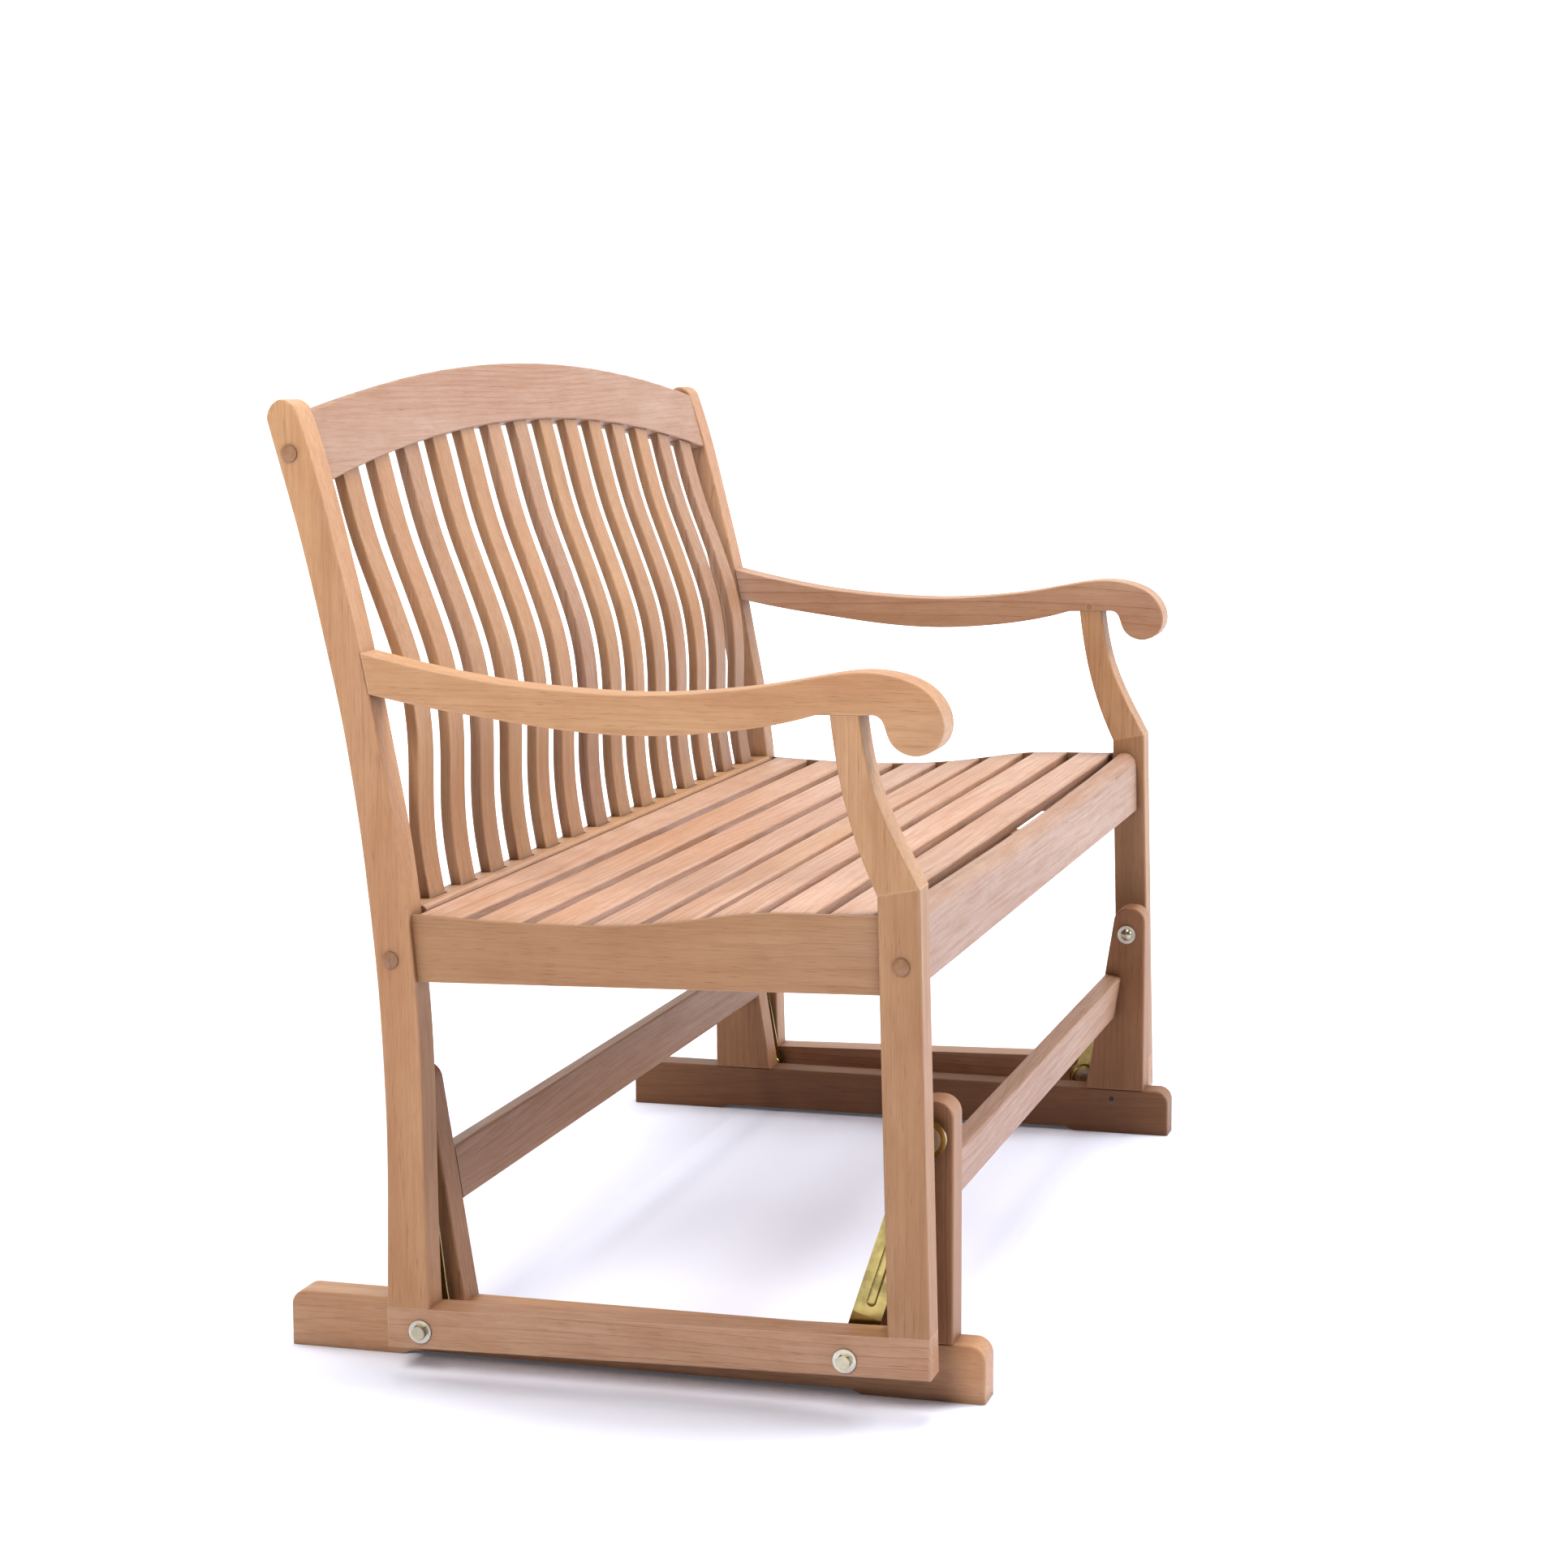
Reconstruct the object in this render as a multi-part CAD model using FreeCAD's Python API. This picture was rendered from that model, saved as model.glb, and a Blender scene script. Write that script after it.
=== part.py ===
import FreeCAD, Part
import math
import os
from FreeCAD import Placement, Rotation, Vector

# Teak glider bench: a slatted two-seat bench whose two side frames straddle a low ground
# base and hang from it on four stamped steel hanger arms with bearings.
#
# Frame: millimetres, +Z up, the sitter looks towards -Y, X runs along the seat.
# "left" is -X and "right" is +X, as seen by somebody standing in front of the bench.
# The origin is on the ground, in the middle of the runners.
#
# The bench is drawn in its own upright frame (y, z) and then hung on its pivots.
os.makedirs("parts", exist_ok=True)

# ---------------------------------------------------------------- overall sizes
BENCH_WIDTH = 1200.0        # over the outer faces of the legs
RUNNER_LENGTH = 684.5       # front to back
POST_SPAN = 545.2           # from the front post's front face to the rear post's rear face
POST_SETBACK = 30.1         # the posts' front face behind the runner's front end
PIVOT_GAP_LOWER = 408.6     # between the front and rear pivots in a bench rail

# ---------------------------------------------------------------- timber sizes
LEG_T = 35.0                # thickness of legs, arm supports and lower rails (along X)
LEG_FRONT_DEPTH = 38.8      # front leg, front to back
RAIL_H = 38.5               # lower rail height
RAIL_Z = 34.3               # underside of the lower rail above the bench's datum
RAIL_HALF_LENGTH = 260.2    # the lower rail runs this far each way
BASE_T = 36.0               # thickness of runners and posts (along X)
RUNNER_H = 54.0
RUNNER_CORNER_R = 15.0
FOOT_RELIEF = 4.0           # how far the runner is cut clear of the ground between its feet
FOOT_FRONT = 116.0          # length of the runner's front foot
FOOT_REAR = 115.0           # length of the runner's rear foot
FOOT_RAMP = 10.0
SIDE_GAP = 33.0             # between a post and the bench's side frame
ARM_OVERHANG = 1.5          # armrest past the leg on each side
EDGE_R = 2.5                # softened edges of the large timbers
SLAT_EDGE_R = 1.8           # softened edges of the back slats

# posts
POST_TOP_Z = 279.5
POST_FOOT_W = 71.0          # width where the post meets the runner
POST_HEAD_W = 38.5          # width at the head
POST_HEAD_Z = 262.0         # where the taper ends
POST_HEAD_R = 17.0

# cross boards of the base
STRETCHER_H = 52.0
STRETCHER_T = 20.5
STRETCHER_TOP_Z = 197.5     # upper edge, at the face that is flush with the post
STRETCHER_EDGE_R = 3.0

# pivots
PIVOT_Z = 247.0             # upper pivots above the ground
PIVOT_INSET = 22.2          # upper pivots behind the posts' outer faces
LINK_L = 203.0              # pivot to pivot along a hanger arm
REST_SWING = 17.6           # degrees, front arms' lean from the vertical at rest
LOWER_FRONT_Y = -181.8      # front pivot in the lower rail
LOWER_FRONT_Z = 49.2
LOWER_REAR_RISE = 2.4       # the rear pivot sits this much higher in the rail

# hardware
BOLT_D = 8.0
BOLT_AF = 13.0
BOLT_HEAD_H = 5.5
WASHER_D = 22.0
WASHER_T = 1.8
BUTTON_D = 14.0             # domed head of the upper bolts
BUTTON_H = 4.5
BOLT_HOLE_CLEAR = 0.25      # radial, bolt in timber
PIN_CLEAR = 0.05            # radial, bolt in bearing hub
OPEN_CLEAR = 3.3            # radial, bolt in the two rear lower hubs
HUB_FACE_GAP = 0.4          # hub to the timber beside it
SHEET_T = 2.5               # hanger arm sheet
ARM_W = 28.0                # hanger arm width
EYE_R = 18.8                # disc round each bearing
EYE_LIP_T = 2.0             # turned lip of the disc
EYE_LIP_H = 1.8
BEARING_R = 13.4
BEARING_W = 8.5
CUP_T = 1.8                 # wall of the drawn bearing cup
CUP_HOLE_R = 11.2           # opening in the cup's floor
HUB_R = 6.6
OPEN_HUB_R = 10.0
ARM_PLANE = 11.5            # arm sheet's inner face outside the post's face
ARM_LEAN = 12.0             # the lower eye stands this much nearer to the bench
LEAN_START = 22.0           # along the arm, from the upper pivot
LEAN_END = 172.0
RIB_W = 9.0
RIB_H = 1.7
RIB_START = 34.0
RIB_END = 163.0

# seat
SEAT_SLATS = 8
SEAT_SLAT_W = 42.0
SEAT_SLAT_T = 12.5
SEAT_SLAT_R = 3.0
SEAT_SLAT_PROUD = 0.4       # slats above the side aprons' upper edge
SEAT_REAR_Y = 216.6         # rear edge of the last slat
SEAT_FRONT_Y = -215.6       # front edge of the first slat
APRON_T = 24.0              # side apron thickness
APRON_RECESS = 8.0          # side apron behind the legs' outer face
APRON_WALL = 4.0            # lip left outside the slats' ends
APRON_BOTTOM_Z = 381.0
APRON_TENON = 12.0
SUPPORT_W = 36.0            # centre bearer under the slats
SUPPORT_BOTTOM_Z = 376.0
FRONT_APRON_T = 26.0
FRONT_APRON_FACE_Y = -250.3
FRONT_APRON_BOTTOM_Z = 383.5
FRONT_APRON_TOP_Z = 455.2
FRONT_APRON_DISH = 6.0      # dip of the upper edge at mid-width
FRONT_APRON_R = 14.5
FRONT_APRON_BACK_R = 11.0
REAR_RAIL_T = 30.0
REAR_RAIL_FACE_Y = 217.5
REAR_RAIL_TOP_Z = 447.5
REAR_RAIL_H = 56.0
REAR_RAIL_R = 5.0
CROSS_TENON = 11.0          # cross members enter the legs by this much
CROSS_TENON_T = 14.0
TOP_TENON_T = 10.0

# back
BACK_SLATS = 14
BACK_SLAT_W = 38.5
BACK_SLAT_T = 11.0
SLAT_TENON = 9.0            # back slats enter the rails by this much
MORTISE_CLEAR = 0.2         # beside a slat in its mortise
MORTISE_W = 14.0            # mortise, front to back
MORTISE_FRONT = 2.5         # top rail's mortises behind its front face
REAR_MORTISE_Y = 227.4      # front wall of the rear seat rail's mortises
TOP_RAIL_T = 25.0
TOP_RAIL_LEAN = 14.4        # degrees
TOP_RAIL_Y = 293.5          # lower front edge of the top rail
TOP_RAIL_Z = 840.2
TOP_RAIL_END_H = 66.9       # height at the ends, along the lean
TOP_RAIL_RISE_LOW = 47.1    # rise of the arched underside
TOP_RAIL_RISE_TOP = 42.8    # rise of the arched upper edge
TOP_RAIL_R = 2.0            # rounding of the upper edges
TOP_RAIL_CHAMFER = 1.3      # along the arched underside

# arms
ARM_SEAT_Z = 629.6          # underside of the armrest on its support

# domed plugs over the cross members' bolts, and the plugs in the runners
PLUG_D = 15.6
PLUG_STAND = 1.8            # straight part proud of the leg
PLUG_DOME = 3.0             # rise of the rounded end beyond that
PLUG_DEPTH = 9.0
ARM_PLUG_D = 8.5            # flush plug in each armrest's inner face, over the support
ARM_PLUG_AT = (-195.0, 634.7)
RUNNER_PLUG_D = 6.5
RUNNER_PLUG_DEPTH = 8.0
RUNNER_PLUG_Y = 39.0        # behind the posts' front face
RUNNER_PLUG_Z = 42.0

# Shaped outlines in the bench's side view, (y, z).
REAR_LEG_BACK = [(259.5, 72.8), (256.2, 144), (252.8, 236), (252.9, 300), (255.6, 389),
                 (259.7, 449.5), (264.8, 510), (271.6, 569.5), (280.2, 629), (291.2, 688),
                 (303.0, 747.6), (316.3, 807), (331.3, 865.6), (338.6, 894)]
REAR_LEG_FRONT = [(309.3, 904), (293.7, 851.3), (281.5, 800), (269.2, 744.9), (256.6, 685),
                  (244.6, 612), (238.0, 572), (229.8, 520), (223.4, 465), (218.0, 390),
                  (215.6, 330), (215.6, 270), (217.0, 190), (217.6, 72.8)]
SUPPORT_BACK = [(-221.4, 470.8), (-207.8, 504.4), (-199.6, 530), (-193.1, 556), (-187.3, 588),
                (-182.4, 629.6)]
SUPPORT_FRONT = [(-209.6, 629.6), (-213.7, 596.9), (-220.6, 566), (-231.8, 535.6),
                 (-246.2, 505), (-260.2, 477.3)]
ARMREST_TOP = [(270.0, 688.8), (201.9, 671.8), (125.5, 657.6), (56.8, 650.2), (-11.1, 646.9),
               (-70.0, 649.2), (-125.0, 654.9), (-175.0, 663.2), (-215.0, 667.2),
               (-242.0, 663.6), (-268.0, 652.0), (-282.0, 635.0), (-285.4, 617.0),
               (-278.7, 602.0), (-263.0, 594.3), (-248.4, 596.4), (-237.4, 605.4),
               (-232.6, 617.5), (-229.4, 625.2), (-222.0, 629.6)]
ARMREST_BOTTOM = [(-170.0, 629.6), (-132.1, 620.8), (-77.4, 613.6), (-10.0, 610.5),
                  (58.0, 614.5), (126.9, 624.2), (196.4, 635.7), (270.0, 652.2)]
SEAT_SCOOP = [(240.0, 445.4), (218.0, 443.6), (156.0, 439.5), (90.0, 437.0), (30.0, 437.6),
              (-30.0, 442.0), (-80.0, 448.6), (-104.0, 451.2), (-150.0, 452.4),
              (-240.0, 453.2)]
BACK_SLAT_FACE = [(228.4, 438.0), (232.6, 462), (236.6, 495), (237.7, 530), (236.0, 580),
                  (237.4, 622), (243.6, 662), (254.6, 700), (268.4, 740), (282.2, 780),
                  (293.0, 820), (302.2, 860), (310.5, 893)]
PLUGS = [(317.9, 866.2), (240.5, 402.3), (-242.0, 408.4)]

# ---------------------------------------------------------------- derived sizes
OUT_X = BENCH_WIDTH / 2.0
IN_X = OUT_X - LEG_T
BASE_OUT_X = IN_X - SIDE_GAP
BASE_IN_X = BASE_OUT_X - BASE_T
RUNNER_FRONT_Y = -RUNNER_LENGTH / 2.0
POST_FRONT_Y = RUNNER_FRONT_Y + POST_SETBACK
POST_REAR_Y = POST_FRONT_Y + POST_SPAN
RAIL_TOP_Z = RAIL_Z + RAIL_H
UPPER_FRONT = (POST_FRONT_Y + PIVOT_INSET, PIVOT_Z)
UPPER_REAR = (POST_REAR_Y - PIVOT_INSET, PIVOT_Z)
LOWER_FRONT = (LOWER_FRONT_Y, LOWER_FRONT_Z)
LOWER_REAR = (LOWER_FRONT_Y + PIVOT_GAP_LOWER, LOWER_FRONT_Z + LOWER_REAR_RISE)
APRON_OUT_X = OUT_X - APRON_RECESS
APRON_IN_X = APRON_OUT_X - APRON_T
SEAT_HALF_LENGTH = APRON_OUT_X - APRON_WALL
FRONT_LEG_REAR_Y = -RAIL_HALF_LENGTH + LEG_FRONT_DEPTH
POST_SLOPE = math.degrees(math.atan2(POST_FOOT_W - POST_HEAD_W, POST_HEAD_Z - RUNNER_H))


# ---------------------------------------------------------------- small helpers
def box(x0, x1, y0, y1, z0, z1):
    return Part.makeBox(x1 - x0, y1 - y0, z1 - z0, Vector(x0, y0, z0))


def drum(x0, x1, y, z, r):
    """Cylinder along X."""
    return Part.makeCylinder(r, abs(x1 - x0), Vector(min(x0, x1), y, z), Vector(1, 0, 0))


def outline(*runs):
    """Closed outline in the side view: two points make a line, more a smooth curve."""
    edges = []
    last = None
    for run in runs:
        pts = [Vector(0, p[0], p[1]) for p in run]
        if last is not None and (pts[0] - last).Length > 1e-6:
            edges.append(Part.LineSegment(last, pts[0]).toShape())
        if len(pts) == 2:
            edges.append(Part.LineSegment(pts[0], pts[1]).toShape())
        else:
            curve = Part.BSplineCurve()
            curve.interpolate(pts)
            edges.append(curve.toShape())
        last = pts[-1]
    first = edges[0].valueAt(edges[0].FirstParameter)
    if (first - last).Length > 1e-6:
        edges.append(Part.LineSegment(last, first).toShape())
    return Part.Wire(edges)


def slab(wire, x0, x1):
    """The outline, made solid from x0 to x1."""
    face = Part.Face(wire)
    face.translate(Vector(x0, 0, 0))
    return face.extrude(Vector(x1 - x0, 0, 0))


def cheek_edges(shape, skip=None):
    """Edges round both flat cheeks of a slab."""
    bb = shape.BoundBox
    picked = []
    for e in shape.Edges:
        b = e.BoundBox
        if b.XLength < 1e-6 and min(abs(b.XMin - bb.XMin), abs(b.XMax - bb.XMax)) < 1e-6:
            if skip is None or not skip(b):
                picked.append(e)
    return picked


def long_edges(shape):
    """Edges that run along X from end to end."""
    span = shape.BoundBox.XLength
    return [e for e in shape.Edges if e.BoundBox.XLength > 0.9 * span]


def mirror_x(shape):
    return shape.mirror(Vector(0, 0, 0), Vector(1, 0, 0))


def side(shape, s):
    """s = 1 keeps a right-hand piece, s = -1 mirrors it to the left."""
    return shape if s > 0 else mirror_x(shape)


SIDES = (("left", -1), ("right", 1))
SOLIDS = {}


def keep(node, shapes):
    if not isinstance(shapes, (list, tuple)):
        shapes = [shapes]
    SOLIDS[node] = shapes


# ---------------------------------------------------------------- linkage at rest
def polar(pivot, degrees):
    a = math.radians(degrees)
    return (pivot[0] + LINK_L * math.sin(a), pivot[1] - LINK_L * math.cos(a))


def rear_lower_pivot(front):
    """The rear arms' lower pivot: LINK_L from its post, PIVOT pitch from the front one."""
    reach = math.hypot(LOWER_REAR[0] - LOWER_FRONT[0], LOWER_REAR[1] - LOWER_FRONT[1])
    dy, dz = UPPER_REAR[0] - front[0], UPPER_REAR[1] - front[1]
    d = math.hypot(dy, dz)
    along = (reach ** 2 - LINK_L ** 2 + d ** 2) / (2 * d)
    off = math.sqrt(reach ** 2 - along ** 2)
    return (front[0] + along * dy / d + off * dz / d,
            front[1] + along * dz / d - off * dy / d)


HUNG_FRONT = polar(UPPER_FRONT, REST_SWING)
HUNG_REAR = rear_lower_pivot(HUNG_FRONT)
REAR_SWING = math.degrees(math.atan2(HUNG_REAR[0] - UPPER_REAR[0],
                                     UPPER_REAR[1] - HUNG_REAR[1]))
BENCH_TILT = math.degrees(
    math.atan2(HUNG_REAR[1] - HUNG_FRONT[1], HUNG_REAR[0] - HUNG_FRONT[0])
    - math.atan2(LOWER_REAR[1] - LOWER_FRONT[1], LOWER_REAR[0] - LOWER_FRONT[0]))


def hang(shape):
    """Move a bench piece from its upright frame onto the hanger arms."""
    turn = Rotation(Vector(1, 0, 0), BENCH_TILT)
    move = Placement(Vector(0, HUNG_FRONT[0], HUNG_FRONT[1])
                     - turn.multVec(Vector(0, LOWER_FRONT[0], LOWER_FRONT[1])), turn)
    moved = shape.copy()
    moved.Placement = move.multiply(moved.Placement)
    return moved


# ---------------------------------------------------------------- bench side frames
def lower_rail():
    rail = box(IN_X, OUT_X, -RAIL_HALF_LENGTH, RAIL_HALF_LENGTH, RAIL_Z, RAIL_TOP_Z)
    rail = rail.makeFillet(EDGE_R, cheek_edges(
        rail, lambda b: b.ZMin > RAIL_TOP_Z - 1e-6))
    for y, z in (LOWER_FRONT, LOWER_REAR):
        rail = rail.cut(drum(IN_X - 1, OUT_X + 1, y, z, BOLT_D / 2 + BOLT_HOLE_CLEAR))
    return rail


def front_leg():
    front, back = SUPPORT_FRONT[-1], SUPPORT_BACK[0]
    foot = -RAIL_HALF_LENGTH
    wire = outline([(foot, RAIL_TOP_Z), (FRONT_LEG_REAR_Y, RAIL_TOP_Z)],
                   [(FRONT_LEG_REAR_Y, RAIL_TOP_Z), (FRONT_LEG_REAR_Y, back[1])],
                   [(FRONT_LEG_REAR_Y, back[1]), (foot, front[1])])
    leg = slab(wire, IN_X, OUT_X)
    return leg.makeFillet(EDGE_R, cheek_edges(leg, lambda b: b.ZLength < 20))


def rear_leg():
    head = [REAR_LEG_BACK[-1], (337.0, 906.5), (327.0, 914.8), (317.0, 913.2),
            REAR_LEG_FRONT[0]]
    wire = outline(REAR_LEG_BACK, head, REAR_LEG_FRONT)
    leg = slab(wire, IN_X, OUT_X)
    return leg.makeFillet(EDGE_R, cheek_edges(leg, lambda b: b.ZLength < 1e-6))


def arm_support():
    wire = outline(SUPPORT_BACK, SUPPORT_FRONT)
    piece = slab(wire, IN_X, OUT_X)
    return piece.makeFillet(EDGE_R, cheek_edges(piece, lambda b: b.ZLength < 20))


def armrest():
    wire = outline(ARMREST_TOP, [ARMREST_TOP[-1], ARMREST_BOTTOM[0]], ARMREST_BOTTOM)
    piece = slab(wire, IN_X - ARM_OVERHANG, OUT_X + ARM_OVERHANG)
    piece = piece.makeFillet(EDGE_R * 0.6, cheek_edges(piece, lambda b: b.YMin > 260))
    back = slab(outline(REAR_LEG_FRONT, [(400, REAR_LEG_FRONT[-1][1]),
                                         (400, REAR_LEG_FRONT[0][1])]),
                IN_X - 10, OUT_X + 10)
    return piece.cut(back)


def scoop_outline(drop, y0, y1, bottom):
    pts = [(y, z - drop) for y, z in SEAT_SCOOP]
    return outline(pts, [(y1, bottom), (y0, bottom)])


def side_apron():
    y1, y0 = SEAT_SCOOP[-1][0], SEAT_SCOOP[0][0]
    full = slab(scoop_outline(0.0, y0, y1, APRON_BOTTOM_Z), APRON_IN_X, APRON_OUT_X)
    lip = slab(scoop_outline(SEAT_SLAT_T - SEAT_SLAT_PROUD - 0.3, y0, y1, APRON_BOTTOM_Z),
               APRON_IN_X - 5, SEAT_HALF_LENGTH)
    above = slab(scoop_outline(-60.0, y0, y1, APRON_BOTTOM_Z),
                 APRON_IN_X - 5, SEAT_HALF_LENGTH).cut(lip)
    return full.cut(above)


def apron_tenons():
    """Tongues of the side apron inside the rear and front legs."""
    x0, x1 = APRON_OUT_X - 13.0, APRON_OUT_X - 3.0
    z0, z1 = APRON_BOTTOM_Z + 9.0, APRON_BOTTOM_Z + 49.0
    rear_y = REAR_LEG_FRONT[9][0]
    rear = box(x0, x1, rear_y - 6.0, rear_y + APRON_TENON, z0, z1)
    front = box(x0, x1, FRONT_LEG_REAR_Y - APRON_TENON, FRONT_LEG_REAR_Y + 6.0, z0, z1)
    return rear, front


# ---------------------------------------------------------------- cross members
def tongues(y, z0, z1, thickness):
    """The tongue at each end of a cross member, centred at depth y."""
    return [box(s * IN_X - CROSS_TENON, s * IN_X + CROSS_TENON,
                y - thickness / 2, y + thickness / 2, z0, z1) for s in (-1, 1)]


def rear_rail():
    y0, y1 = REAR_RAIL_FACE_Y, REAR_RAIL_FACE_Y + REAR_RAIL_T
    z0, z1 = REAR_RAIL_TOP_Z - REAR_RAIL_H, REAR_RAIL_TOP_Z
    core = box(-IN_X, IN_X, y0, y1, z0, z1)
    core = core.makeFillet(REAR_RAIL_R, long_edges(core))
    ends = tongues((y0 + y1) / 2, z0 + 10, z1 - 10, CROSS_TENON_T)
    return core.multiFuse(ends).removeSplitter(), ends


def front_apron():
    y0, y1 = FRONT_APRON_FACE_Y, FRONT_APRON_FACE_Y + FRONT_APRON_T
    z0, z1 = FRONT_APRON_BOTTOM_Z, FRONT_APRON_TOP_Z
    sag = FRONT_APRON_DISH
    arc = Part.Arc(Vector(-IN_X, y0, z1), Vector(0, y0, z1 - sag), Vector(IN_X, y0, z1))
    a, b = Vector(-IN_X, y0, z0), Vector(IN_X, y0, z0)
    wire = Part.Wire([arc.toShape(), Part.LineSegment(Vector(IN_X, y0, z1), b).toShape(),
                      Part.LineSegment(b, a).toShape(),
                      Part.LineSegment(a, Vector(-IN_X, y0, z1)).toShape()])
    core = Part.Face(wire).extrude(Vector(0, y1 - y0, 0))
    top = [e for e in long_edges(core) if e.BoundBox.ZMax > z1 - sag - 1]
    front = [e for e in top if e.BoundBox.YMax < (y0 + y1) / 2]
    core = core.makeFillet(FRONT_APRON_R, front)
    back = [e for e in long_edges(core)
            if e.BoundBox.YMin > y1 - 1e-3 and e.BoundBox.ZMax > z1 - sag - 1]
    core = core.makeFillet(FRONT_APRON_BACK_R, back)
    low = [e for e in long_edges(core) if e.BoundBox.ZMax < z0 + 1e-3]
    core = core.makeFillet(EDGE_R, low)
    ends = tongues((y0 + y1) / 2, z0 + 12, z1 - 20, CROSS_TENON_T)
    return core.multiFuse(ends).removeSplitter(), ends


def rail_frame():
    """Placement of the leaning top rail: X along it, Y through it, Z up the lean."""
    return Placement(Vector(0, TOP_RAIL_Y, TOP_RAIL_Z),
                     Rotation(Vector(1, 0, 0), -TOP_RAIL_LEAN))


def arch(x, rise):
    """Height at x of an arc that rises by this much from x = +-IN_X to the middle."""
    r = (IN_X ** 2 + rise ** 2) / (2 * rise)
    return rise - r + math.sqrt(r ** 2 - x ** 2)


def arc_edge(x, rise, base):
    return Part.Arc(Vector(-x, 0, base + arch(x, rise)), Vector(0, 0, base + rise),
                    Vector(x, 0, base + arch(x, rise))).toShape()


def top_rail():
    """Arched board, made overlong and trimmed square between the legs."""
    x = IN_X + 15.0
    under = arc_edge(x, TOP_RAIL_RISE_LOW, 0.0)
    over = arc_edge(x, TOP_RAIL_RISE_TOP, TOP_RAIL_END_H)
    sides = [Part.LineSegment(Vector(s * x, 0, arch(x, TOP_RAIL_RISE_LOW)),
                              Vector(s * x, 0, TOP_RAIL_END_H
                                     + arch(x, TOP_RAIL_RISE_TOP))).toShape()
             for s in (-1, 1)]
    wire = Part.Wire(Part.__sortEdges__([under, over] + sides))
    core = Part.Face(wire).extrude(Vector(0, TOP_RAIL_T, 0))
    upper = [e for e in long_edges(core) if e.BoundBox.ZMin > TOP_RAIL_END_H / 2]
    core = core.makeFillet(TOP_RAIL_R, upper)
    lower = [e for e in long_edges(core) if e.BoundBox.ZMin < 0]
    core = core.makeChamfer(TOP_RAIL_CHAMFER, lower)
    core = core.common(box(-IN_X, IN_X, -50, 50, -50, 200))
    ends = tongues(TOP_RAIL_T / 2, 14, TOP_RAIL_END_H - 14, TOP_TENON_T)
    rail = core.multiFuse(ends).removeSplitter()
    for shape in [rail] + ends:
        shape.Placement = rail_frame().multiply(shape.Placement)
    return rail, ends


def centre_support():
    y0 = FRONT_APRON_FACE_Y + FRONT_APRON_T
    y1 = REAR_RAIL_FACE_Y
    drop = SEAT_SLAT_T - SEAT_SLAT_PROUD - 0.3
    body = slab(scoop_outline(drop, SEAT_SCOOP[0][0], SEAT_SCOOP[-1][0], SUPPORT_BOTTOM_Z),
                -SUPPORT_W / 2, SUPPORT_W / 2)
    return body.common(box(-SUPPORT_W, SUPPORT_W, y0, y1, SUPPORT_BOTTOM_Z - 5, 500))


# ---------------------------------------------------------------- slats
def scoop_at(y):
    """Height and slope of the scooped seat line."""
    curve = Part.BSplineCurve()
    curve.interpolate([Vector(0, p[0], p[1]) for p in SEAT_SCOOP])
    t = curve.parameter(Vector(0, y, 445))
    for _ in range(30):
        p = curve.value(t)
        d = curve.getD1(t)[1]
        t -= (p.y - y) / d.y
    return p.z, math.degrees(math.atan2(-d.z, -d.y))


def seat_slat(i):
    """Slat i, counted from the back."""
    gap = (SEAT_REAR_Y - SEAT_FRONT_Y - SEAT_SLATS * SEAT_SLAT_W) / (SEAT_SLATS - 1)
    y = SEAT_REAR_Y - SEAT_SLAT_W / 2 - i * (SEAT_SLAT_W + gap)
    z, slope = scoop_at(y)
    h, w = SEAT_HALF_LENGTH, SEAT_SLAT_W / 2
    slat = box(-h, h, -w, w, -SEAT_SLAT_T, 0)
    upper = [e for e in slat.Edges if e.BoundBox.ZMin > -1e-6]
    slat = slat.makeFillet(SEAT_SLAT_R, upper)
    lower = [e for e in long_edges(slat) if e.BoundBox.ZMax < -SEAT_SLAT_T + 1e-6]
    slat = slat.makeFillet(SEAT_SLAT_R * 0.5, lower)
    slat.Placement = Placement(Vector(0, y, z + SEAT_SLAT_PROUD),
                               Rotation(Vector(1, 0, 0), slope))
    return slat


def back_slat_blank():
    """One curved back slat at x = 0, long enough to enter both rails."""
    n = len(BACK_SLAT_FACE)
    rear = []
    for k, (y, z) in enumerate(BACK_SLAT_FACE):
        a = BACK_SLAT_FACE[max(k - 1, 0)]
        b = BACK_SLAT_FACE[min(k + 1, n - 1)]
        dy, dz = b[0] - a[0], b[1] - a[1]
        d = math.hypot(dy, dz)
        rear.append((y + BACK_SLAT_T * dz / d, z - BACK_SLAT_T * dy / d))
    wire = outline(BACK_SLAT_FACE, rear[::-1])
    slat = slab(wire, -BACK_SLAT_W / 2, BACK_SLAT_W / 2)
    edges = [e for e in cheek_edges(slat) if e.BoundBox.ZLength > 100]
    return slat.makeFillet(SLAT_EDGE_R, edges)


def back_slat_x(i):
    gap = (2 * IN_X - BACK_SLATS * BACK_SLAT_W) / (BACK_SLATS + 1)
    return -IN_X + gap + BACK_SLAT_W / 2 + i * (BACK_SLAT_W + gap)


def back_slat(i, blank):
    x = back_slat_x(i)
    slat = blank.copy()
    slat.translate(Vector(x, 0, 0))
    under = arch(x, TOP_RAIL_RISE_LOW) + SLAT_TENON
    roof = box(x - 100, x + 100, -100, 100, under, under + 300)
    roof.Placement = rail_frame().multiply(roof.Placement)
    floor = box(x - 100, x + 100, 0, 400, 0, REAR_RAIL_TOP_Z - SLAT_TENON)
    return slat.cut(roof).cut(floor)


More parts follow.
